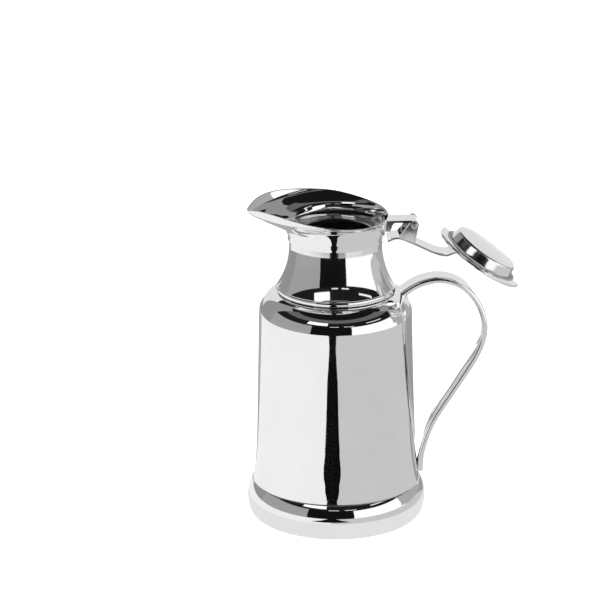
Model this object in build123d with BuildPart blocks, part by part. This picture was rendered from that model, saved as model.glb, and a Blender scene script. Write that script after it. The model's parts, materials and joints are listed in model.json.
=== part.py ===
"""Insulated serving jug: silver-plated casing, glass vacuum liner and a flip-over hinged lid.

Millimetres. The origin is the centre of the foot, on the table. +Z is up, the handle and the hinge
are on the +X side, the spout is on the -X side, and the jug is symmetric about the XZ plane.
The lid is drawn open, as it rests: turned over backwards about the hinge pin.
"""

from build123d import *
from math import cos, radians, sin
import os

os.makedirs("parts", exist_ok=True)

# ---- driving dimensions ----
sheet = 1.0                     # casing wall
foot_inner_r = 49.5             # opening that the base cap screws into
foot_flat_r = 53.2              # outer edge of the flat ring that stands on the table
foot_max_r = 61.3
seam_r = 57.4                   # where the casing meets the base ring
seam_z = 26.6
body_r = 53.0                   # at the top of the tapered casing
body_low_r = 54.8
cove_top_z = 46.0
shoulder_z = 148.0
shoulder_top_r = 40.5
shoulder_top_z = 163.5
bead_r = 41.2
bead_top_z = 168.2
neck_r = 32.3
neck_top_z = 203.2
band_r = 33.3                   # sleeve of the spout collar over the neck
band_bottom_z = 200.8
seat_top_z = 205.8
mouth_r = 25.6                  # clear hole that the lid's plug drops into
rim_wall = 0.9
pin_x = 53.0
pin_z = 211.5
pin_r = 1.5
barrel_r = 2.7
running_gap = 0.05              # radial, between the pin and the lever's lugs
bracket_half_width = 6.75
plate_thickness = 1.5
lug_gap = 0.3
lug_thickness = 1.4
washer_thickness = 0.7
open_angle = 215                # from shut on the mouth to hanging open over the handle
lid_r = 32.6
lid_under_z = 206.6             # underside of the lid's flange when it is shut
lever_thickness = 1.8
lever_half_width = 8.4
handle_top_width = 17.0
handle_top_thickness = 5.0
handle_low_width = 13.0
handle_low_thickness = 4.2


def finish_node(shape, name):
    """Label one sub-part and write it to its own STEP file."""
    shape.label = name
    export_step(shape, f"parts/{name}.step")


# ---- base ----
with BuildPart() as base_ring:
    with BuildSketch(Plane.XZ):
        with BuildLine():
            skirt = Polyline((foot_inner_r, 9.0), (foot_inner_r, 0.0), (foot_flat_r, 0.0))
            foot = ThreePointArc(skirt @ 1, (57.9, 2.2), (60.4, 7.5))
            bulge = ThreePointArc(foot @ 1, (foot_max_r, 13.0), (61.0, 17.5))
            TangentArc(bulge @ 1, (seam_r, seam_z), tangent=bulge % 1)
            offset(amount=1.2, side=Side.LEFT)
        make_face()
    revolve(axis=Axis.Z)
finish_node(base_ring.part, "base_ring")

cap_r = foot_inner_r - 0.2
cap_bottom_z = 0.0
with BuildPart() as base_cap:
    with BuildSketch(Plane.XY.offset(cap_bottom_z)):
        Circle(cap_r)
    extrude(amount=8.0)
    with BuildSketch(Plane.XY.offset(cap_bottom_z + 1.6)):
        Circle(cap_r - 1.5)
    extrude(amount=10, mode=Mode.SUBTRACT)
    with BuildSketch(Plane.XY.offset(cap_bottom_z)):
        with PolarLocations(38, 2):
            Circle(3)
    extrude(amount=0.8, mode=Mode.SUBTRACT)
finish_node(base_cap.part, "base_cap")

# ---- glass vacuum liner and what holds it ----
liner_r = 47.5
liner_bottom_z = 14.0
liner_neck_r = 30.0
glass = 1.6
inner_glass = 1.2
inner_r = 42.5
inner_neck_r = 28.0
liner_corner_r = 30.0
lip_z = 200.0
lip_top_z = 201.5

with BuildPart() as flask_outer_wall:
    with BuildSketch(Plane.XZ):
        with BuildLine():
            FilletPolyline(
                (0, liner_bottom_z), (liner_r, liner_bottom_z), (liner_r, 146), (liner_neck_r, 166),
                (liner_neck_r, lip_z), radius=[liner_corner_r, 20, 12],
            )
            offset(amount=glass, side=Side.LEFT)
        make_face()
    revolve(axis=Axis.Z)
    with BuildSketch(Plane.XZ):
        with BuildLine():
            Polyline((0, 8), (2.2, 9.5), (3.0, liner_bottom_z + 0.4), (0, liner_bottom_z + 0.4), close=True)
        make_face()
    revolve(axis=Axis.Z)
finish_node(flask_outer_wall.part, "flask_outer_wall")

with BuildPart() as flask_inner_wall:
    with BuildSketch(Plane.XZ):
        with BuildLine():
            FilletPolyline(
                (0, liner_bottom_z + 5), (inner_r, liner_bottom_z + 5), (inner_r, 143), (inner_neck_r, 163),
                (inner_neck_r, lip_top_z), radius=[liner_corner_r - 4, 18, 14],
            )
            offset(amount=inner_glass, side=Side.LEFT)
        make_face()
    revolve(axis=Axis.Z)
    with BuildSketch(Plane.XZ):
        with Locations(((inner_neck_r + liner_neck_r) / 2, (lip_z + lip_top_z) / 2)):
            Rectangle(liner_neck_r - inner_neck_r, lip_top_z - lip_z)
    revolve(axis=Axis.Z)
finish_node(flask_inner_wall.part, "flask_inner_wall")

pad_arc = 11
with BuildPart() as flask_spacers:
    for pad in range(3):
        with BuildSketch(Plane.XZ.rotated((0, 0, 120 * pad))):
            with Locations(((inner_r + liner_r - glass) / 2, 70)):
                Rectangle(liner_r - glass - inner_r, 9)
        revolve(axis=Axis.Z, revolution_arc=pad_arc)
finish_node(flask_spacers.part, "flask_spacers")

cushion_r = 34.0
with BuildPart() as liner_cushion:
    with BuildSketch(Plane.XY.offset(cap_bottom_z + 1.6)):
        Circle(cushion_r)
    extrude(amount=20)
    with BuildSketch(Plane.XZ):
        with BuildLine():
            cup = FilletPolyline(
                (0, liner_bottom_z), (liner_r, liner_bottom_z), (liner_r, 60), radius=liner_corner_r
            )
            Polyline(cup @ 1, (0, 60), cup @ 0)
        make_face()
    revolve(axis=Axis.Z, mode=Mode.SUBTRACT)
    with BuildSketch(Plane.XY.offset(cap_bottom_z)):
        Circle(5)
    extrude(amount=20, mode=Mode.SUBTRACT)
finish_node(liner_cushion.part, "liner_cushion")

with BuildPart() as liner_spacer_ring:
    with BuildSketch(Plane.XY.offset(126)):
        Circle(51.9)
        Circle(liner_r, mode=Mode.SUBTRACT)
    extrude(amount=9)
finish_node(liner_spacer_ring.part, "liner_spacer_ring")

with BuildPart() as neck_centring_ring:
    with BuildSketch(Plane.XY.offset(192)):
        Circle(neck_r - sheet)
        Circle(liner_neck_r, mode=Mode.SUBTRACT)
    extrude(amount=6)
finish_node(neck_centring_ring.part, "neck_centring_ring")

with BuildPart() as mouth_gasket:
    with BuildSketch(Plane.XY.offset(lip_top_z)):
        Circle(neck_r - sheet)
        Circle(inner_neck_r - inner_glass, mode=Mode.SUBTRACT)
    extrude(amount=neck_top_z - lip_top_z)
finish_node(mouth_gasket.part, "mouth_gasket")

with BuildPart() as mouth_seat:
    with BuildSketch(Plane.XY.offset(neck_top_z)):
        Circle(neck_r)
    extrude(amount=seat_top_z - neck_top_z)
    with BuildSketch(Plane.XY.offset(195)):
        Circle(mouth_r + 0.8)
    extrude(amount=seat_top_z - 195)
    with BuildSketch(Plane.XY.offset(190)):
        Circle(mouth_r)
    extrude(amount=30, mode=Mode.SUBTRACT)
    chamfer(mouth_seat.edges().filter_by(GeomType.CIRCLE).group_by(Axis.Z)[-1].sort_by(SortBy.RADIUS)[0], 0.8)
finish_node(mouth_seat.part, "mouth_seat")

# ---- casing ----
def casing_outline():
    """Draw the casing's outer profile: cove above the seam, tapered wall, rounded shoulder."""
    cove = ThreePointArc((seam_r, seam_z), (55.7, 36.0), (body_low_r, cove_top_z))
    wall = Line(cove @ 1, (body_r, shoulder_z))
    turn = TangentArc(wall @ 1, (50.2, 157.0), tangent=wall % 1)
    return TangentArc(turn @ 1, (shoulder_top_r, shoulder_top_z), tangent=turn % 1)


with BuildPart() as casing_envelope:
    with BuildSketch(Plane.XZ):
        with BuildLine():
            top = casing_outline()
            Polyline(top @ 1, (0, shoulder_top_z), (0, seam_z), (seam_r, seam_z))
        make_face()
    revolve(axis=Axis.Z)

with BuildPart() as body_shell:
    with BuildSketch(Plane.XZ):
        with BuildLine():
            casing_outline()
            offset(amount=sheet, side=Side.LEFT)
        make_face()
    revolve(axis=Axis.Z)
    split(bisect_by=Plane.XY.offset(seam_z), keep=Keep.TOP)
finish_node(body_shell.part, "body_shell")

with BuildPart() as bead_ring:
    with BuildSketch(Plane.XY.offset(shoulder_top_z + 0.1)):
        Circle(bead_r)
        Circle(36.5, mode=Mode.SUBTRACT)
    extrude(amount=bead_top_z - shoulder_top_z - 0.1)
    fillet(bead_ring.edges().filter_by(GeomType.CIRCLE).sort_by(SortBy.RADIUS)[-2:], 1.5)
finish_node(bead_ring.part, "bead_ring")

with BuildPart() as neck:
    with BuildSketch(Plane.XZ):
        with BuildLine():
            straight = Line((neck_r, neck_top_z), (neck_r, 197.0))
            TangentArc(straight @ 1, (40.7, bead_top_z), tangent=(0, -1))
            offset(amount=sheet, side=Side.RIGHT)
        make_face()
    revolve(axis=Axis.Z)
    split(bisect_by=Plane.XY.offset(bead_top_z), keep=Keep.TOP)
finish_node(neck.part, "neck")

# ---- spout collar: a round sleeve that opens into an oval mouth with a pouring lip ----
# height, half length on the hinge side, half width, reach of the lip, sharpness of the lip
collar_levels = [
    (seat_top_z, 33.9, 33.9, 34.0, 0.50),
    (209.5, 34.2, 34.2, 36.2, 0.58),
    (212.7, 34.8, 34.7, 44.8, 0.72),
    (215.0, 35.4, 35.6, 51.0, 0.80),
    (217.2, 36.1, 37.8, 55.6, 0.84),
    (219.0, 36.6, 41.0, 58.8, 0.85),
    (221.0, 37.0, 43.8, 60.8, 0.85),
    (224.0, 37.6, 45.2, 62.0, 0.85),
    (229.0, 38.6, 46.0, 64.0, 0.85),
]


def mouth_section(level, inset):
    """One level section of the collar: half an ellipse, drawn out to the lip on the other side."""
    height, hinge_side, half_width, reach, sharpness = level
    outline = []
    for turn in range(0, 360, 15):
        across = sin(radians(turn))
        along = cos(radians(turn))
        if along >= 0:
            outline.append(((hinge_side - inset) * along, (half_width - inset) * across))
        else:
            narrowing = abs(across) ** (2 * sharpness - 1)
            outline.append(((reach - inset) * along, (half_width - inset) * across * narrowing))
    with BuildSketch(Plane.XY.offset(height)) as section:
        with BuildLine():
            Spline(outline, periodic=True)
        make_face()
    return section.sketch


with BuildPart() as collar_envelope:
    with BuildSketch(Plane.XY.offset(band_bottom_z)):
        Circle(band_r)
    extrude(amount=seat_top_z - band_bottom_z)
    loft([mouth_section(level, 0) for level in collar_levels], ruled=True)

with BuildPart() as collar_hollow:
    with BuildSketch(Plane.XY.offset(band_bottom_z - 1)):
        Circle(neck_r + 0.05)
    extrude(amount=seat_top_z - band_bottom_z + 1)
    loft([mouth_section(level, rim_wall) for level in collar_levels], ruled=True)

with BuildPart() as spout_collar:
    add(collar_envelope.part)
    add(collar_hollow.part, mode=Mode.SUBTRACT)
    with BuildSketch(Plane.XZ):
        with BuildLine():
            rim = Spline(
                (-70, 215.0), (-61.5, 222.0), (-54, 225.8), (-45, 226.6), (-25, 224.2),
                (0, 221.1), (22, 218.4), (50, 217.4),
            )
            Polyline(rim @ 1, (50, 240), (-70, 240), rim @ 0)
        make_face()
    extrude(amount=60, both=True, mode=Mode.SUBTRACT)
finish_node(spout_collar.part, "spout_collar")

# ---- hinge ----
barrel_top_z = pin_z + barrel_r
with BuildPart() as hinge_bracket:
    with BuildSketch(Plane.XZ):
        with BuildLine():
            Polyline(
                (33.0, 206.5), (36.6, 206.5), (38.4, barrel_top_z - plate_thickness - 1.2),
                (39.8, barrel_top_z - plate_thickness), (pin_x, barrel_top_z - plate_thickness),
                (pin_x, barrel_top_z), (33.0, barrel_top_z), close=True,
            )
        make_face()
        with Locations((pin_x, pin_z)):
            Circle(barrel_r)
            Circle(pin_r, mode=Mode.SUBTRACT)
    extrude(amount=bracket_half_width, both=True)
    add(collar_envelope.part, mode=Mode.SUBTRACT)
finish_node(hinge_bracket.part, "hinge_bracket")

lug_inner_y = bracket_half_width + lug_gap
lug_outer_y = lug_inner_y + lug_thickness
washer_outer_y = lug_outer_y + 0.1 + washer_thickness
pin_end_y = 11.4
with BuildPart() as hinge_pin:
    with BuildSketch(Plane.XZ):
        with Locations((pin_x, pin_z)):
            Circle(pin_r)
    extrude(amount=washer_outer_y, both=True)
    for side in (1, -1):
        with BuildSketch(Plane.XZ.offset(side * washer_outer_y)):
            with Locations((pin_x, pin_z)):
                Circle(2.3)
        extrude(amount=side * (pin_end_y - washer_outer_y))
    fillet(hinge_pin.edges().filter_by(GeomType.CIRCLE).group_by(Axis.Y)[0], 1.2)
    fillet(hinge_pin.edges().filter_by(GeomType.CIRCLE).group_by(Axis.Y)[-1], 1.2)
finish_node(hinge_pin.part, "hinge_pin")

with BuildPart() as hinge_washers:
    for side in (1, -1):
        with BuildSketch(Plane.XZ.offset(side * (lug_outer_y + 0.1))):
            with Locations((pin_x, pin_z)):
                Circle(2.9)
                Circle(pin_r, mode=Mode.SUBTRACT)
        extrude(amount=side * washer_thickness)
finish_node(hinge_washers.part, "hinge_washers")

# ---- lid, drawn in the shut position on a plane that is then turned about the pin ----
lid_right = Vector(cos(radians(open_angle)), 0, -sin(radians(open_angle)))
lid_up = Vector(sin(radians(open_angle)), 0, cos(radians(open_angle)))
lid_plane = Plane(
    origin=Vector(pin_x, 0, pin_z) - lid_right * pin_x - lid_up * pin_z,
    x_dir=lid_right,
    z_dir=(0, -1, 0),
)
lid_axis = Axis(lid_plane.origin, lid_up)
flange_top_z = lid_under_z + 0.9
crown_z = 208.6
crown_edge_r = 27.0
crown_radius = (crown_edge_r**2 + (crown_z - flange_top_z) ** 2) / (2 * (crown_z - flange_top_z))
plug_base_r = 24.8
plug_end_r = 23.6
plug_depth = 8.0

rivet_x = 6.5
rivet_y = 4.6
rivet_r = 1.0
rivet_head_r = 2.2
rivet_plane = Plane(origin=lid_plane.from_local_coords((rivet_x, crown_z, 0)), x_dir=lid_right, z_dir=lid_up)

with BuildPart() as lid_cap:
    with BuildSketch(lid_plane):
        with BuildLine():
            outline = Polyline(
                (0, crown_z), (0, lid_under_z), (lid_r, lid_under_z), (lid_r, flange_top_z + 1.4),
                (lid_r - 1.4, flange_top_z + 1.4), (lid_r - 2.6, flange_top_z), (crown_edge_r, flange_top_z),
            )
            RadiusArc(outline @ 1, outline @ 0, -crown_radius)
        make_face()
    revolve(axis=lid_axis)
    with BuildSketch(rivet_plane.offset(lid_under_z - crown_z)):
        with GridLocations(0, 2 * rivet_y, 1, 2):
            Circle(rivet_r)
    extrude(amount=5, mode=Mode.SUBTRACT)
finish_node(lid_cap.part, "lid_cap")

with BuildPart() as lid_plug:
    with BuildSketch(lid_plane):
        with BuildLine():
            Polyline(
                (0, lid_under_z - plug_depth), (plug_end_r - 1.6, lid_under_z - plug_depth),
                (plug_end_r - 0.4, lid_under_z - plug_depth + 0.5), (plug_end_r, lid_under_z - plug_depth + 1.6),
                (plug_base_r, lid_under_z - 0.8), (plug_base_r, lid_under_z), (plug_base_r - 1, lid_under_z),
                (plug_end_r - 1, lid_under_z - plug_depth + 1), (0, lid_under_z - plug_depth + 1), close=True,
            )
        make_face()
    revolve(axis=lid_axis)
finish_node(lid_plug.part, "lid_plug")

with BuildPart() as lid_insulation:
    with BuildSketch(lid_plane):
        with BuildLine():
            Polyline(
                (0, lid_under_z - plug_depth + 1.1), (plug_end_r - 1.1, lid_under_z - plug_depth + 1.1),
                (plug_base_r - 1.1, lid_under_z - 0.1), (0, lid_under_z - 0.1), close=True,
            )
        make_face()
    revolve(axis=lid_axis)
finish_node(lid_insulation.part, "lid_insulation")

with BuildPart() as lid_seal:
    with BuildSketch(lid_plane):
        with Locations((plug_base_r + 1.3, lid_under_z - 0.3)):
            Rectangle(2.5, 0.5)
    revolve(axis=lid_axis)
finish_node(lid_seal.part, "lid_seal")

# The lever: a strap from the thumb tab over the pin and down to its foot on the lid's crown.
half_strap = lever_thickness / 2
foot_line_z = crown_z + half_strap
foot_end_x = 1.5
lever_bends = [
    (8.0, 20.0), (4.4, 14.8), (-1.3, 12.6), (-15.5, 10.3), (-27.0, 8.0), (-32.0, 5.2),
    (-35.2, 0.6), (-38.6, foot_line_z - pin_z + 0.25), (-41.0, foot_line_z - pin_z),
]
with BuildPart() as lid_lever:
    with BuildLine() as lever_path:
        bend = Spline(
            [lid_plane.from_local_coords((pin_x + across, pin_z + up, 0)) for across, up in lever_bends]
        )
        Line(bend @ 1, lid_plane.from_local_coords((foot_end_x, foot_line_z, 0)))
    with BuildSketch(Plane(origin=bend @ 0, x_dir=(0, 1, 0), z_dir=bend % 0)):
        Rectangle(2 * lever_half_width, lever_thickness)
    sweep(path=lever_path.line)
    for side in (1, -1):
        with BuildSketch(lid_plane.offset(side * lug_inner_y)):
            with BuildLine():
                CenterArc((pin_x, pin_z), 3.0, 0, 360)
                Line((pin_x - 8.0, pin_z + 10.6), (pin_x + 3.6, pin_z + 13.6))
            make_hull()
            with Locations((pin_x, pin_z)):
                Circle(pin_r + running_gap, mode=Mode.SUBTRACT)
        extrude(amount=side * lug_thickness)
    with BuildSketch(rivet_plane):
        with GridLocations(0, 2 * rivet_y, 1, 2):
            Circle(rivet_r)
    extrude(amount=5, mode=Mode.SUBTRACT)
finish_node(lid_lever.part, "lid_lever")

with BuildPart() as lid_rivets:
    with BuildSketch(rivet_plane.offset(lid_under_z - crown_z)):
        with GridLocations(0, 2 * rivet_y, 1, 2):
            Circle(rivet_r)
    extrude(amount=crown_z - lid_under_z + lever_thickness)
    with BuildSketch(rivet_plane.offset(lever_thickness)):
        with GridLocations(0, 2 * rivet_y, 1, 2):
            Circle(rivet_head_r)
    extrude(amount=1.0)
    fillet(lid_rivets.edges().filter_by(GeomType.CIRCLE).group_by(lid_axis)[-1], 0.9)
finish_node(lid_rivets.part, "lid_rivets")

# ---- handle: a strap bent to one centre line, narrower and thinner towards its lower end ----
with BuildPart() as handle:
    with BuildLine(Plane.XZ) as handle_path:
        Spline(
            (42.0, 157.5), (49.5, 163.9), (57.6, 168.2), (71.4, 170.5), (85.4, 166.0), (96.9, 153.4),
            (101.9, 135.8), (98.0, 118.2), (88.1, 100.9), (77.2, 83.8), (66.4, 66.1), (60.8, 51.5),
            (58.4, 41.0), (57.9, 31.0),
        )
    with BuildSketch(Plane(origin=handle_path.line @ 0, x_dir=(0, 1, 0), z_dir=handle_path.line % 0)):
        RectangleRounded(handle_top_width, handle_top_thickness, 1.6)
    with BuildSketch(Plane(origin=handle_path.line @ 1, x_dir=(0, 1, 0), z_dir=handle_path.line % 1)):
        RectangleRounded(handle_low_width, handle_low_thickness, 1.4)
    sweep(path=handle_path.line, multisection=True)
    add(casing_envelope.part, mode=Mode.SUBTRACT)
finish_node(handle.part, "handle")
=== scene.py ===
"""Visible surfaces, materials and studio for an insulated serving jug with a flip-over lid.

The jug's own shapes are in millimetres and the studio is in metres, both in the frame's axes:
Z is up, the spout points to -X, and the handle and the hinge are on +X. The lid is drawn shut
and then turned back about its pin, because the frame holds it open.
"""

import json
import math

import bmesh
import bpy
import numpy as np
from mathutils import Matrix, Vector


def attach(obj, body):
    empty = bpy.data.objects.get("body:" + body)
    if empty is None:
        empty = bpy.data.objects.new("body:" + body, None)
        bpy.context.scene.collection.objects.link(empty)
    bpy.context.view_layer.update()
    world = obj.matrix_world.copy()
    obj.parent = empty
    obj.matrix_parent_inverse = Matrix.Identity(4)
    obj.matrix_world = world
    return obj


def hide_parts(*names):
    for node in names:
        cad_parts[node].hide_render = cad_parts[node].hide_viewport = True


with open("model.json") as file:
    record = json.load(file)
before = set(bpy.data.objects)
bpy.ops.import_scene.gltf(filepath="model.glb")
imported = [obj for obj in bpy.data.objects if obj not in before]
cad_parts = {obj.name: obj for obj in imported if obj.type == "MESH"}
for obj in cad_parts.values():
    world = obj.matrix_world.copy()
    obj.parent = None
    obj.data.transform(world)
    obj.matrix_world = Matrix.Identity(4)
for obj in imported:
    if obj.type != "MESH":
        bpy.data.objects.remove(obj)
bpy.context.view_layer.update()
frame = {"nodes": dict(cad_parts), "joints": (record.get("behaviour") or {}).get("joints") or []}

MM = 0.001
hinge = frame["joints"][0]
PIN_X, _, PIN_Z = (v / MM for v in hinge["pos_m"])
OPEN = math.radians(-hinge["range_deg"][0])
AROUND = 240  # columns round a turned piece


# ---------------------------------------------------------------- curves
def on_circle(centre, r, angle):
    return (centre[0] + r * math.cos(angle), centre[1] + r * math.sin(angle))


def arc_deg(centre, r, first, last, step=15):
    """Points on a circle from first to last degrees, ends included."""
    return [on_circle(centre, r, math.radians(a)) for a in range(first, last + 1, step)]


def spline(points, count):
    """Natural cubic through the points, by chord length."""
    p = np.array(points, float)
    t = np.concatenate([[0], np.cumsum(np.linalg.norm(np.diff(p, axis=0), axis=1))])
    h = np.diff(t)
    n = len(p)
    a = np.eye(n)
    b = np.zeros_like(p)
    for i in range(1, n - 1):
        a[i, i - 1 : i + 2] = h[i - 1], 2 * (h[i - 1] + h[i]), h[i]
        b[i] = 6 * ((p[i + 1] - p[i]) / h[i] - (p[i] - p[i - 1]) / h[i - 1])
    m = np.linalg.solve(a, b)
    out = []
    for s in np.linspace(0, t[-1], count):
        i = min(max(int(np.searchsorted(t, s)) - 1, 0), n - 2)
        u, v = t[i + 1] - s, s - t[i]
        out.append(
            (m[i] * u**3 + m[i + 1] * v**3) / (6 * h[i])
            + (p[i] / h[i] - m[i] * h[i] / 6) * u
            + (p[i + 1] / h[i] - m[i + 1] * h[i] / 6) * v
        )
    return np.array(out)


def steady(xs, ys, x):
    """Smooth interpolation that never overshoots."""
    xs, ys = np.array(xs, float), np.array(ys, float)
    d = np.diff(ys) / np.diff(xs)
    before, after = d[:-1], d[1:]
    inside = np.where(after * before > 0, 2 * after * before / (after + before + 1e-12), 0)
    m = np.concatenate([[d[0]], inside, [d[-1]]])
    i = int(min(max(np.searchsorted(xs, x) - 1, 0), len(xs) - 2))
    h = xs[i + 1] - xs[i]
    u = (x - xs[i]) / h
    return (
        ys[i] * (2 * u**3 - 3 * u**2 + 1)
        + ys[i + 1] * (3 * u**2 - 2 * u**3)
        + h * m[i] * (u**3 - 2 * u**2 + u)
        + h * m[i + 1] * (u**3 - u**2)
    )


def arc3(a, b, c, count):
    """Points on the circle through a, b and c, from a to c."""
    (ax, ay), (bx, by), (cx, cy) = a, b, c
    a2, b2, c2 = ax**2 + ay**2, bx**2 + by**2, cx**2 + cy**2
    d = 2 * (ax * (by - cy) + bx * (cy - ay) + cx * (ay - by))
    ux = (a2 * (by - cy) + b2 * (cy - ay) + c2 * (ay - by)) / d
    uy = (a2 * (cx - bx) + b2 * (ax - cx) + c2 * (bx - ax)) / d
    r = math.hypot(ax - ux, ay - uy)
    t0, t1, t2 = (math.atan2(y - uy, x - ux) for x, y in (a, b, c))
    span = (t2 - t0) % (2 * math.pi)
    if (t1 - t0) % (2 * math.pi) > span:
        span -= 2 * math.pi
    return [on_circle((ux, uy), r, t0 + span * i / count) for i in range(count + 1)]


def arc_on(a, heading, c, count):
    """The arc that leaves a along heading and ends at c, and its heading there."""
    hx, hy = heading
    dx, dy = c[0] - a[0], c[1] - a[1]
    turn = 2 * math.atan2(hx * dy - hy * dx, hx * dx + hy * dy)
    chord = math.hypot(dx, dy)
    out = []
    for i in range(count + 1):
        w = turn * i / count
        length = chord * math.sin(w / 2) / math.sin(turn / 2)
        out.append(on_circle(a, length, math.atan2(hy, hx) + w / 2))
    cos, sin = math.cos(turn), math.sin(turn)
    return out, (hx * cos - hy * sin, hx * sin + hy * cos)


def straight(a, b, count):
    """Evenly spaced points from a to b, without a itself."""
    dx, dy = b[0] - a[0], b[1] - a[1]
    return [(a[0] + dx * i / count, a[1] + dy * i / count) for i in range(1, count + 1)]


def along(path):
    """The unit direction of a path at each of its points."""
    g = np.gradient(path, axis=0)
    return g / np.linalg.norm(g, axis=1)[:, None]


def thick(outer, t):
    """The closed outline of a sheet: outer, then the same line t further in."""
    p = np.array(outer, float)
    g = along(p)
    inner = p + np.column_stack([-g[:, 1], g[:, 0]]) * t
    return [tuple(q) for q in p] + [tuple(q) for q in inner[::-1]]


# ---------------------------------------------------------------- meshes
WELD = 2e-6  # points nearer than this, in metres, become one
SLIVER = 1e-6  # edges shorter than this, in metres, go


def shut_to_open(p):
    """A point of the shut lid, turned back about the pin to where the frame holds it."""
    x, z = p[0] - PIN_X, p[2] - PIN_Z
    cos, sin = math.cos(OPEN), math.sin(OPEN)
    return (PIN_X + cos * x + sin * z, p[1], PIN_Z - sin * x + cos * z)


def build(name, parts, body, nodes, material, lid=False, sharp=32):
    """One piece from a list of (vertices, faces), with creases where it bends more than sharp degrees."""
    bm = bmesh.new()
    for verts, faces in parts:
        made = [bm.verts.new(Vector(shut_to_open(v) if lid else v) * MM) for v in verts]
        for f in faces:
            if len({id(made[i]) for i in f}) == len(f):
                bm.faces.new([made[i] for i in f])
    bmesh.ops.remove_doubles(bm, verts=bm.verts, dist=WELD)
    bmesh.ops.dissolve_degenerate(bm, edges=bm.edges, dist=SLIVER)
    bmesh.ops.recalc_face_normals(bm, faces=bm.faces)
    mesh = bpy.data.meshes.new(name)
    bm.to_mesh(mesh)
    bm.free()
    mesh.shade_smooth()
    mesh.set_sharp_from_angle(angle=math.radians(sharp))
    mesh.materials.append(material)
    obj = bpy.data.objects.new(name, mesh)
    bpy.context.scene.collection.objects.link(obj)
    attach(obj, body)
    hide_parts(*nodes)


def lathe(profile, closed=True):
    """A profile of (radius, height) turned about the Z axis."""
    n = len(profile)
    verts = []
    faces = []
    for j in range(AROUND):
        t = 2 * math.pi * j / AROUND
        verts += [(r * math.cos(t), r * math.sin(t), z) for r, z in profile]
        here, there = j * n, (j + 1) % AROUND * n
        for i in range(n if closed else n - 1):
            k = (i + 1) % n
            faces.append((here + i, here + k, there + k, there + i))
    return verts, faces


def loft(rings, caps=True):
    """A skin over rings that have the same number of points."""
    n = len(rings[0])
    verts = [tuple(p) for ring in rings for p in ring]
    faces = []
    for here in range(0, (len(rings) - 1) * n, n):
        for i in range(n):
            k = (i + 1) % n
            faces.append((here + i, here + k, here + n + k, here + n + i))
    if caps:
        faces.append(tuple(range(n)))
        faces.append(tuple(range(len(verts) - n, len(verts))))
    return verts, faces


def strap(path, start, end, corner, crown):
    """A bar along a path in the XZ plane, its corners rounded and its broad faces crowned.

    start and end are its (width, thickness) at the two ends.
    """
    rings = []
    for k, (p, t) in enumerate(zip(path, along(path))):
        f = k / (len(path) - 1)
        w = (start[0] * (1 - f) + end[0] * f) / 2
        h = (start[1] * (1 - f) + end[1] * f) / 2 - crown
        c = min(corner, h * 0.95)
        edge = arc_deg((w - c, h - c), c, 0, 90)
        flat = [((w - c) * (1 - i / 4), h) for i in range(1, 4)]
        half = edge + flat + [(0, h)] + [(-y, o) for y, o in (edge + flat)[::-1]]
        section = half + [(-y, -o) for y, o in half]
        ring = []
        for y, o in section:
            if abs(y) < w - 0.001:  # the outermost points keep their place
                o += math.copysign(crown * (1 - (y / w) ** 2), o)
            ring.append((p[0] - t[1] * o, y, p[1] + t[0] * o))
        rings.append(ring)
    return loft(rings)


# ---------------------------------------------------------------- material nodes
def nodes_of(name):
    mat = bpy.data.materials.new(name)
    mat.use_nodes = True
    nt = mat.node_tree
    return mat, nt, nt.nodes["Principled BSDF"], nt.nodes.new("ShaderNodeTexCoord")


def noise(nt, coord, scale, detail=3.0, stretch=(1, 1, 1), rough=0.5):
    m = nt.nodes.new("ShaderNodeMapping")
    m.inputs["Scale"].default_value = stretch
    t = nt.nodes.new("ShaderNodeTexNoise")
    t.inputs["Scale"].default_value = scale
    t.inputs["Detail"].default_value = detail
    t.inputs["Roughness"].default_value = rough
    nt.links.new(coord.outputs["Object"], m.inputs["Vector"])
    nt.links.new(m.outputs["Vector"], t.inputs["Vector"])
    return t.outputs["Fac"]


def spread(nt, value, lo, hi, out_lo, out_hi):
    r = nt.nodes.new("ShaderNodeMapRange")
    r.inputs["From Min"].default_value = lo
    r.inputs["From Max"].default_value = hi
    r.inputs["To Min"].default_value = out_lo
    r.inputs["To Max"].default_value = out_hi
    nt.links.new(value, r.inputs["Value"])
    return r.outputs["Result"]


def tint(nt, value, color, share, lo=0.35, hi=0.65):
    """From a share of the colour where value is low to the colour itself where it is high."""
    r = nt.nodes.new("ShaderNodeValToRGB")
    low, high = r.color_ramp.elements
    low.position, high.position = lo, hi
    low.color = (*(c * share for c in color), 1)
    high.color = (*color, 1)
    nt.links.new(value, r.inputs["Fac"])
    return r.outputs["Color"]


def relief(nt, value, height, strength, before=None):
    b = nt.nodes.new("ShaderNodeBump")
    b.inputs["Distance"].default_value = height
    b.inputs["Strength"].default_value = strength
    nt.links.new(value, b.inputs["Height"])
    if before is not None:
        nt.links.new(before, b.inputs["Normal"])
    return b.outputs["Normal"]


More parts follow.
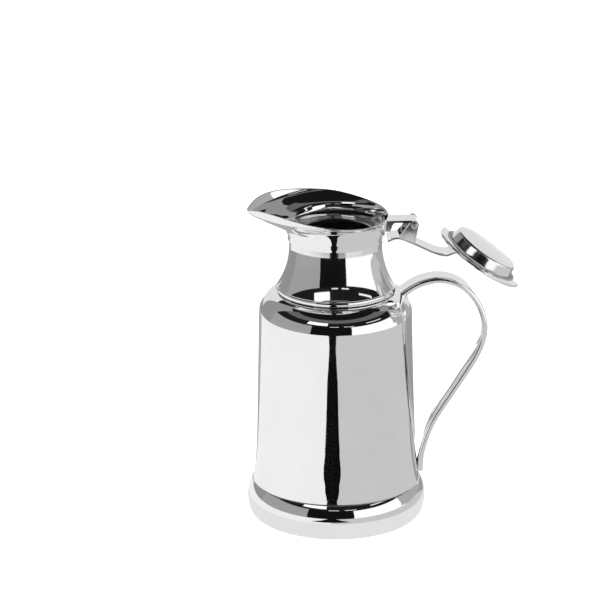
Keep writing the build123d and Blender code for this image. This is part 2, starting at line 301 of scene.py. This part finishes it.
# ---------------------------------------------------------------- materials
def silver(name, smear, base, wave, hairs, tone=(0.93, 0.93, 0.925)):
    """Polished plate: slow waves in the sheet, wiping marks in the gloss and hair-fine scratches."""
    mat, nt, bsdf, co = nodes_of(name)
    bsdf.inputs["Metallic"].default_value = 1.0
    smudge = noise(nt, co, 38, 5, (1, 1, 0.6), 0.6)
    wipe = noise(nt, co, 160, 3, (1, 1, 0.12))
    both = nt.nodes.new("ShaderNodeMath")
    both.operation = "MULTIPLY"
    nt.links.new(smudge, both.inputs[0])
    nt.links.new(wipe, both.inputs[1])
    gloss = spread(nt, both.outputs[0], 0.16, 0.42, base, base + smear)
    nt.links.new(gloss, bsdf.inputs["Roughness"])
    nt.links.new(tint(nt, smudge, tone, 0.965), bsdf.inputs["Base Color"])
    slow = relief(nt, noise(nt, co, 22, 1.0), wave, 0.35)
    scratches = noise(nt, co, 900, 2, (1, 1, 0.08))
    nt.links.new(relief(nt, scratches, hairs, 0.5, slow), bsdf.inputs["Normal"])
    return mat


def satin(name, color, lo, hi):
    """Turned or drawn metal with fine lines, its roughness between lo and hi."""
    mat, nt, bsdf, co = nodes_of(name)
    bsdf.inputs["Metallic"].default_value = 1.0
    lines = noise(nt, co, 120, 4, (1, 1, 30))
    nt.links.new(spread(nt, lines, 0.3, 0.7, lo, hi), bsdf.inputs["Roughness"])
    nt.links.new(tint(nt, noise(nt, co, 60, 4), color, 0.88), bsdf.inputs["Base Color"])
    nt.links.new(relief(nt, lines, 0.00001, 0.4), bsdf.inputs["Normal"])
    return mat


def moulded(name, color, lo, hi, grain=900, depth=0.00003):
    """Plastic, rubber, foam or pressed fibre with a moulded grain, its roughness between lo and hi."""
    mat, nt, bsdf, co = nodes_of(name)
    stain = noise(nt, co, 45, 5, rough=0.6)
    nt.links.new(tint(nt, stain, color, 0.86), bsdf.inputs["Base Color"])
    nt.links.new(spread(nt, noise(nt, co, 130, 4), 0.3, 0.7, lo, hi), bsdf.inputs["Roughness"])
    nt.links.new(relief(nt, noise(nt, co, grain, 3), depth, 0.5), bsdf.inputs["Normal"])
    return mat


body_silver = silver("casing_silver", smear=0.03, base=0.022, wave=0.00012, hairs=0.000003)
trim_silver = silver("trim_silver", smear=0.05, base=0.03, wave=0.0001, hairs=0.000004)
collar_silver = silver("collar_silver", smear=0.05, base=0.03, wave=0.00012, hairs=0.000004)
strap_silver = silver("strap_silver", smear=0.07, base=0.04, wave=0.00012, hairs=0.000006)
lid_silver = silver("lid_silver", smear=0.06, base=0.035, wave=0.0001, hairs=0.000004)
pin_metal = satin("pin_steel", (0.74, 0.74, 0.73), 0.22, 0.36)
seat_metal = satin("seat_steel", (0.82, 0.82, 0.81), 0.14, 0.26)
flask_metal = silver("silvered_glass", 0.08, 0.04, 0.0001, 0.000002, (0.86, 0.87, 0.88))
black_cap = moulded("cap_black", (0.035, 0.035, 0.037), 0.38, 0.55)
plug_metal = silver("plug_steel", 0.10, 0.10, 0.00012, 0.000006, (0.90, 0.90, 0.89))
fibre = moulded("pressed_fibre", (0.70, 0.66, 0.58), 0.7, 0.9, grain=1400, depth=0.0001)
foam = moulded("rigid_foam", (0.88, 0.86, 0.78), 0.75, 0.95, grain=1600, depth=0.00015)
dark_rubber = moulded("dark_rubber", (0.06, 0.06, 0.062), 0.5, 0.7)
pale_rubber = moulded("pale_rubber", (0.76, 0.76, 0.74), 0.4, 0.55)

# CAD nodes that show as they are
MATERIAL_OF = {
    "base_cap": black_cap,
    "flask_outer_wall": flask_metal,
    "flask_inner_wall": flask_metal,
    "flask_spacers": fibre,
    "liner_cushion": dark_rubber,
    "liner_spacer_ring": fibre,
    "neck_centring_ring": dark_rubber,
    "mouth_gasket": pale_rubber,
    "mouth_seat": seat_metal,
    "hinge_bracket": trim_silver,
    "hinge_pin": pin_metal,
    "hinge_washers": pin_metal,
    "lid_insulation": foam,
    "lid_seal": pale_rubber,
    "lid_rivets": trim_silver,
}
for node, mat in MATERIAL_OF.items():
    frame["nodes"][node].data.materials.clear()
    frame["nodes"][node].data.materials.append(mat)


# ---------------------------------------------------------------- base, casing and neck
def base_ring():
    """Turned in at the table, bulging, then drawn in to the seam."""
    sole, cheek, top = (53.2, 0.0), (60.4, 7.5), (61.0, 17.5)
    outline = [(49.5, 0.4), (49.9, 0.0), sole]
    outline += arc3(sole, (57.9, 2.2), cheek, 14)[1:]
    outline += arc3(cheek, (61.3, 13.0), top, 14)[1:]
    outline += arc_on(top, (-0.155, 0.988), (57.6, 26.4), 22)[0][1:]
    outline += [(57.4, 26.55), (57.1, 26.6)]
    build("base_ring_look", [lathe(thick(outline, 1.1))], "jug", ["base_ring"], body_silver)


def casing():
    """A long cove above the seam, a slightly tapered wall, and a shoulder that turns in to the bead."""
    wall_foot, wall_top, shoulder = (54.52, 64.0), (53.0, 148.0), (50.2, 157.0)
    wall_heading = (-1.8, 102.0)
    flare = [(57.3, 26.9), (56.85, 29.9), (56.35, 33.5), (55.85, 38.0), (55.4, 43.0), (55.05, 49.0)]
    cove = spline([*flare, (54.8, 55.5), wall_foot], 40)
    turn, heading = arc_on(wall_top, wall_heading, shoulder, 16)
    crest, _ = arc_on(shoulder, heading, (40.6, 163.5), 24)
    outline = [(56.9, 26.62), (57.15, 26.66), *cove]
    outline += straight(wall_foot, wall_top, 12) + turn[1:] + crest[1:]
    build("casing_look", [lathe(thick(outline, 0.9))], "jug", ["body_shell"], body_silver)


def bead():
    """The rounded ring between shoulder and neck."""
    round_r, inner_r, bottom_z, top_z = 1.5, 36.6, 163.7, 168.2
    centre_r = 39.7
    outline = [(inner_r, bottom_z), (centre_r, bottom_z)]
    outline += arc_deg((centre_r, bottom_z + round_r), round_r, -75, 0)
    outline += arc_deg((centre_r, top_z - round_r), round_r, 0, 90)
    outline.append((inner_r, top_z))
    build("bead_look", [lathe(outline)], "jug", ["bead_ring"], trim_silver)


def neck():
    """A cove that sweeps up from the bead into a straight collar."""
    collar_r = 32.3
    sweep, _ = arc_on((collar_r, 197.0), (0, -1), (40.6, 168.25), 40)
    outline = sweep[::-1] + [(collar_r, 203.2)]
    build("neck_look", [lathe(thick(outline, 0.9))], "jug", ["neck"], collar_silver)


# ---------------------------------------------------------------- spout
# height; radius towards the hinge; half width; reach towards the lip; how pointed the lip is in plan
MOUTH = np.array(
    [
        (205.8, 33.9, 33.9, 34.0, 0.50),
        (209.5, 34.2, 34.2, 36.2, 0.58),
        (212.7, 34.8, 34.7, 44.8, 0.72),
        (215.0, 35.4, 35.6, 51.0, 0.80),
        (217.2, 36.1, 37.8, 55.6, 0.84),
        (219.0, 36.6, 41.0, 58.8, 0.85),
        (221.0, 37.0, 43.8, 60.8, 0.85),
        (224.0, 37.6, 45.2, 62.0, 0.85),
        (229.0, 38.6, 46.0, 64.0, 0.85),
    ]
)
MOUTH_Z = MOUTH[:, 0]
LIP_ROUND = 0.012  # keeps the lip from closing to a knife edge in plan
SPOUT_SHEET = 0.9
RIM_ROUND = 0.4  # the rim's rounding starts this far below its top
RIM_DROP = 0.02  # the rim's top stays this far below the rim line
# inset and drop of each point over the rim, from outside to inside
RIM_STEPS = ((0.08, 0.2), (0.22, 0.06), (SPOUT_SHEET / 2, 0.0), (0.68, 0.06), (0.82, 0.2))
# radius and height where the sheet narrows to slip over the top of the neck
FOOT_OUTSIDE = ((33.3, 200.9), (33.3, 205.3), (33.45, 205.7))
FOOT_INSIDE = ((32.5, 205.85), (32.36, 205.6), (32.36, 200.9))
INSIDE_Z = MOUTH_Z[0] + 0.1  # where the wall's inner side starts
MOUTH_STEPS = 40
# the rim line: its height against X, from the lip to the hinge
LIP_END = [(-70, 215.0), (-61.5, 222.0), (-54, 225.8), (-45, 226.6)]
HINGE_END = [(-25, 224.2), (0, 221.1), (22, 218.4), (50, 217.4)]
RIM = spline(LIP_END + HINGE_END, 400)


def mouth_point(t, z, inset):
    """Where the spout's wall is at angle t and height z."""
    to_hinge, half, reach, keen = (steady(MOUTH_Z, MOUTH[:, k], z) for k in (1, 2, 3, 4))
    c, s = math.cos(t), math.sin(t)
    if c >= 0:
        return (to_hinge - inset) * c, (half - inset) * s
    pinch = ((s * s + LIP_ROUND) / (1 + LIP_ROUND)) ** (keen - 0.5)
    return (reach - inset) * c, (half - inset) * s * pinch


def rim_height(t):
    """The height at which the middle of the wall meets the rim, by halving."""
    lo, hi = MOUTH_Z[0], MOUTH_Z[-1]
    for _ in range(40):
        mid = (lo + hi) / 2
        if mid < np.interp(mouth_point(t, mid, SPOUT_SHEET / 2)[0], RIM[:, 0], RIM[:, 1]):
            lo = mid
        else:
            hi = mid
    return lo - RIM_DROP


def mouth_column(t):
    """The wall's section at angle t: up the outside, over the rim and down the inside."""
    c, s = math.cos(t), math.sin(t)
    top = rim_height(t)
    edge = top - RIM_ROUND
    out = [(r * c, r * s, z) for r, z in FOOT_OUTSIDE]
    for i in range(MOUTH_STEPS + 1):
        z = MOUTH_Z[0] + (edge - MOUTH_Z[0]) * i / MOUTH_STEPS
        out.append((*mouth_point(t, z, 0), z))
    for inset, drop in RIM_STEPS:
        out.append((*mouth_point(t, top - drop, inset), top - drop))
    for i in range(MOUTH_STEPS + 1):
        z = edge - (edge - INSIDE_Z) * i / MOUTH_STEPS
        out.append((*mouth_point(t, z, SPOUT_SHEET), z))
    return out + [(r * c, r * s, z) for r, z in FOOT_INSIDE]


def spout():
    """The flared mouth, drawn out into a lip on the side away from the hinge."""
    columns = [mouth_column(2 * math.pi * j / AROUND) for j in range(AROUND)]
    columns.append(columns[0])
    skin = loft(columns, caps=False)
    build("spout_look", [skin], "jug", ["spout_collar"], collar_silver, sharp=40)


# ---------------------------------------------------------------- handle
def handle():
    """Out of the shoulder, over the top and down to the seam."""
    top = [(42.0, 157.5), (49.5, 163.9), (57.6, 168.2), (71.4, 170.5), (85.4, 166.0), (96.9, 153.4)]
    bow = [(101.9, 135.8), (98.0, 118.2), (88.1, 100.9), (77.2, 83.8), (66.4, 66.1)]
    tail = [(60.8, 51.5), (58.4, 41.0), (57.9, 31.0)]
    buried = 4  # points left off where the bar starts inside the shoulder
    grip = spline(top + bow + tail, 260)[buried:]
    bar = strap(grip, (17.0, 5.0), (13.0, 4.2), corner=1.5, crown=0.35)
    build("handle_look", [bar], "jug", ["handle"], strap_silver)


# ---------------------------------------------------------------- lid
LID_TOP_Z = 208.6


def lid_cap():
    """A shallow dome in a raised and rounded rim."""
    dome_edge, under_z = (27.0, 207.5), 206.65
    dome = arc3(dome_edge, (13.6, 208.32), (0.0, LID_TOP_Z), 30)
    outline = [(0, LID_TOP_Z)] + dome[::-1][1:]
    outline += [(29.6, 207.5), (30.4, 208.1), (31.0, 208.6), (31.5, 208.85), (32.0, 208.8), (32.4, 208.5)]
    outline += [(32.6, 208.0), (32.6, 207.2), (32.45, 206.85), (32.1, under_z), (0, under_z)]
    skin = lathe(outline, closed=False)
    build("lid_cap_look", [skin], "lid", ["lid_cap"], lid_silver, lid=True)


def lid_plug():
    """The tapering cup that fills the mouth when the lid is shut, with a rounded bottom edge."""
    wall_top, wall_foot, bottom_z = (24.75, 205.8), (23.65, 200.2), 198.62
    outline = [(24.75, 206.6), wall_top] + straight(wall_top, wall_foot, 6)
    outline += [(23.5, 199.5), (23.15, 199.0), (22.6, 198.7), (22.0, bottom_z), (0, bottom_z)]
    skin = lathe(outline, closed=False)
    build("lid_plug_look", [skin], "lid", ["lid_plug"], plug_metal, lid=True)


# ---------------------------------------------------------------- lever
TONGUE_Z = LID_TOP_Z + 0.9  # the middle of the tongue where it lies on the lid
LUG_R = 3.0
LUG_BORE_R = 1.56
LUG_FACES = (7.05, 8.45)  # a lug's inner and outer face, from the middle
LUG_TOP = ((-8.0, 10.6), (3.6, 13.6))  # where a lug's two straight sides meet the tongue, from the pin


def hull_reach(hull, a):
    """How far the outline round hull is from the pin in direction a."""
    best = LUG_R
    d = on_circle((0, 0), 1, a)
    for i, p in enumerate(hull):
        for q in hull[i + 1 :]:
            ex, ey = q[0] - p[0], q[1] - p[1]
            det = d[0] * ey - d[1] * ex
            if abs(det) > 1e-9:
                s = (p[0] * ey - p[1] * ex) / det
                u = (p[0] * d[1] - p[1] * d[0]) / det
                if s > best and -1e-9 <= u <= 1 + 1e-9:
                    best = s
    return best


def lug(y0, y1, rays, reach):
    """A flat plate with a bore round the pin and two straight sides up to the tongue."""
    ring = []
    for a, far in zip(rays, reach):
        (nx, nz), (fx, fz) = (on_circle((PIN_X, PIN_Z), r, a) for r in (LUG_BORE_R, far))
        ring.append([(nx, y0, nz), (fx, y0, fz), (fx, y1, fz), (nx, y1, nz)])
    return loft(ring + ring[:1], caps=False)


def lever():
    """A tongue from the thumb piece over the pin and along the lid, with a lug at each side."""
    lid_x, lid_z = -41.0, TONGUE_Z - PIN_Z  # where the tongue comes down on the lid, from the pin
    tip_x = 1.5
    bends = [(8.0, 20.0), (4.4, 14.8), (-1.3, 12.6), (-15.5, 10.3), (-27.0, 8.0), (-32.0, 5.2)]
    bends += [(-35.2, 0.6), (-38.6, lid_z + 0.25), (lid_x, lid_z)]
    tongue = spline([(PIN_X + x, PIN_Z + z) for x, z in bends], 150)
    run = straight(tongue[-1], (tip_x, TONGUE_Z), 12)
    size = (16.8, 1.8)
    parts = [strap(np.vstack([tongue, run]), size, size, corner=0.5, crown=0.1)]
    hull = arc_deg((0, 0), LUG_R, 0, 355, 5) + list(LUG_TOP)
    rays = sorted([math.radians(a) for a in range(0, 360, 5)] + [math.atan2(z, x) for x, z in LUG_TOP])
    reach = [hull_reach(hull, a) for a in rays]
    inner, outer = LUG_FACES
    for y0, y1 in ((inner, outer), (-outer, -inner)):
        parts.append(lug(y0, y1, rays, reach))
    build("lever_look", parts, "lid", ["lid_lever"], strap_silver, lid=True)


for make in (base_ring, casing, bead, neck, spout, handle, lid_cap, lid_plug, lever):
    make()


# ---------------------------------------------------------------- studio
VIEW_AZ = math.radians(-4)
VIEW_PITCH = math.radians(20)
VIEW_DISTANCE = 4.135
AIM = Vector((0, 0, 0.107))
back = Vector((math.sin(VIEW_AZ), -math.cos(VIEW_AZ), 0))  # from the jug towards the viewer
side = Vector((math.cos(VIEW_AZ), math.sin(VIEW_AZ), 0))

TABLE_HALF = 9.0
TABLE_Z = -0.0002
EYE_Z = 0.12  # wall elevations are measured from this height
SHEET_IN, SHEET_OUT, TABLE_END = 0.05, 0.62, 3.4  # radii on the table
SHEET_Z, RUNNER_Z, FOOT_Z = 0.0005, 0.001, 0.0012  # each card lies just over the last
HORIZON = -2.05  # in degrees: just under the far edge of the table cards, so that no gap shows


def staged(name, points, faces):
    mesh = bpy.data.meshes.new(name)
    mesh.from_pydata(points, [], faces)
    obj = bpy.data.objects.new(name, mesh)
    bpy.context.scene.collection.objects.link(obj)
    return obj


def towards(degrees):
    """A direction on the table. Angles are from the viewer's side, + to the right."""
    w = math.radians(degrees)
    return back * math.cos(w) + side * math.sin(w)


def glow(name, strength):
    mat = bpy.data.materials.new(name)
    mat.use_nodes = True
    nt = mat.node_tree
    nt.nodes.clear()
    out = nt.nodes.new("ShaderNodeOutputMaterial")
    em = nt.nodes.new("ShaderNodeEmission")
    em.inputs["Strength"].default_value = strength
    nt.links.new(em.outputs[0], out.inputs[0])
    return mat


def seen_in_metal(obj, strength):
    """A card that shows only in the polished metal."""
    obj.data.materials.append(glow(obj.name + "_glow", strength))
    obj.visible_camera = False
    obj.visible_diffuse = False
    obj.visible_shadow = False


def flat_card(name, outline, z, strength):
    points = [(p.x, p.y, z) for p in outline]
    seen_in_metal(staged(name, points, [tuple(range(len(points)))]), strength)


def sector(name, centre, half, r0, r1, strength, z=SHEET_Z):
    """A card on the table between two radii and two directions."""
    rays = [towards(centre + half * (i / 12 - 1)) for i in range(25)]
    flat_card(name, [q * r0 for q in rays] + [q * r1 for q in rays[::-1]], z, strength)


def wall_card(name, az0, az1, el0, el1, strength, radius=TABLE_END):
    """A card standing round the set, between two directions and two elevations."""
    n = 12
    points = []
    for i in range(n + 1):
        q = towards(az0 + (az1 - az0) * i / n) * radius
        for el in (el0, el1):
            points.append((q.x, q.y, EYE_Z + radius * math.tan(math.radians(el))))
    faces = [(2 * i, 2 * i + 2, 2 * i + 3, 2 * i + 1) for i in range(n)]
    seen_in_metal(staged(name, points, faces), strength)


def table():
    corners = [(x * TABLE_HALF, y * TABLE_HALF, TABLE_Z) for x, y in ((-1, -1), (1, -1), (1, 1), (-1, 1))]
    floor = staged("table", corners, [(0, 1, 2, 3)])
    white = bpy.data.materials.new("table_white")
    white.use_nodes = True
    bsdf = white.node_tree.nodes["Principled BSDF"]
    bsdf.inputs["Base Color"].default_value = (0.9, 0.9, 0.9, 1)
    bsdf.inputs["Roughness"].default_value = 0.9
    bsdf.inputs["Emission Color"].default_value = (1, 1, 1, 1)
    bsdf.inputs["Emission Strength"].default_value = 1.0
    floor.data.materials.append(white)


def sheets():
    """The sheets at each side of the jug, their dimmer ends behind it, and a ring round its foot."""
    sector("sheet_right", 58.5, 63.5, SHEET_IN, SHEET_OUT, 0.60)
    sector("sheet_right_edge", 136, 14, SHEET_IN, SHEET_OUT, 0.34)
    sector("sheet_left", -73.5, 68.5, SHEET_IN, SHEET_OUT, 0.93)
    sector("sheet_left_edge", -156, 14, SHEET_IN, SHEET_OUT, 0.42)
    sector("sheet_foot", 0, 178, SHEET_IN, 0.1, 0.82, FOOT_Z)


def runner():
    """The dark strip that runs from the jug towards the viewer. Each flank is (distance, half width)."""
    ahead = towards(-5)
    across = Vector((-ahead.y, ahead.x, 0))
    flanks = [(0.122, 0.044), (0.2, 0.042), (0.26, 0.041), (0.33, 0.046), (0.4, 0.05), (0.48, 0.038)]
    flanks += [(0.57, 0.055), (0.597, 0.09), (SHEET_OUT, 0.16)]
    left = [ahead * d - across * w for d, w in flanks]
    right = [ahead * d + across * w for d, w in flanks]
    flat_card("strip_dark", left + right[::-1], RUNNER_Z, 0.004)


def beyond():
    """What lies on the table past the sheets."""
    sector("beyond_front", -7.5, 30, SHEET_OUT, TABLE_END, 0.006)
    sector("beyond_right", 60, 37.5, SHEET_OUT, TABLE_END, 1.1)
    sector("beyond_left", -74, 36.5, SHEET_OUT, TABLE_END, 0.38)
    sector("beyond_right_back", 125, 27, SHEET_OUT, TABLE_END, 0.42)
    sector("beyond_left_back", -135, 25, SHEET_OUT, TABLE_END, 0.30)


def room():
    """The walls, the band above them, and the lamps in front of that band."""
    wall_card("room_dark", -37, 23, HORIZON, 24, 0.006)
    wall_card("room_window", 23, 92, HORIZON, 22, 1.1)
    wall_card("room_left", -110, -37, HORIZON, 24, 0.36)
    wall_card("room_side", 92, 140, HORIZON, 24, 0.42)
    wall_card("room_back", 140, 215, HORIZON, 34, 0.78)
    wall_card("room_left_back", 215, 250, HORIZON, 24, 0.30)
    upper_r, lamp_r = 3.5, 3.3
    wall_card("upper_dark", -110, 110, 23.5, 42, 0.012, upper_r)
    wall_card("upper_mid", -110, 110, 42, 58, 0.13, upper_r)
    wall_card("upper_side", 110, 140, 24, 52, 0.30, upper_r)
    wall_card("upper_side_left", 215, 250, 24, 52, 0.30, upper_r)
    wall_card("lamp_left", -48, -14, 30, 42, 1.2, lamp_r)
    wall_card("lamp_dash_a", -10, 4, 25, 26.5, 1.1, lamp_r)
    wall_card("lamp_dash_b", 12, 28, 25, 26.5, 1.1, lamp_r)
    wall_card("lamp_right", 50, 78, 30, 32.5, 1.0, lamp_r)


def sky():
    """A soft grey that dims a little straight overhead."""
    world = bpy.data.worlds.new("studio")
    bpy.context.scene.world = world
    world.use_nodes = True
    nt = world.node_tree
    coord = nt.nodes.new("ShaderNodeTexCoord")
    axes = nt.nodes.new("ShaderNodeSeparateXYZ")
    nt.links.new(coord.outputs["Generated"], axes.inputs[0])
    dimmed = spread(nt, axes.outputs["Z"], 0.75, 0.95, 0.22, 0.16)
    nt.links.new(dimmed, nt.nodes["Background"].inputs["Strength"])


def key_light():
    key = bpy.data.objects.new("key", bpy.data.lights.new("key", "AREA"))
    key.data.energy = 60
    key.data.size = 2.0
    key.location = (-1.2, -1.4, 2.6)
    key.rotation_euler = (Vector((0, 0, 0.1)) - key.location).to_track_quat("-Z", "Y").to_euler()
    key.visible_glossy = False
    bpy.context.scene.collection.objects.link(key)


def camera():
    cam = bpy.data.objects.new("cam", bpy.data.cameras.new("cam"))
    bpy.context.scene.collection.objects.link(cam)
    cam.data.lens = 360
    cam.data.sensor_width = 36
    cam.data.clip_end = 60
    away = back * math.cos(VIEW_PITCH) + Vector((0, 0, math.sin(VIEW_PITCH)))
    cam.location = AIM + away * VIEW_DISTANCE
    cam.rotation_euler = (-away).to_track_quat("-Z", "Y").to_euler()
    cam.data.shift_x = -0.0603
    cam.data.shift_y = 0.111
    bpy.context.scene.camera = cam
    bpy.context.scene.view_settings.view_transform = "Standard"
    bpy.context.scene.view_settings.look = "None"


for make in (table, sheets, runner, beyond, sky, room, key_light, camera):
    make()
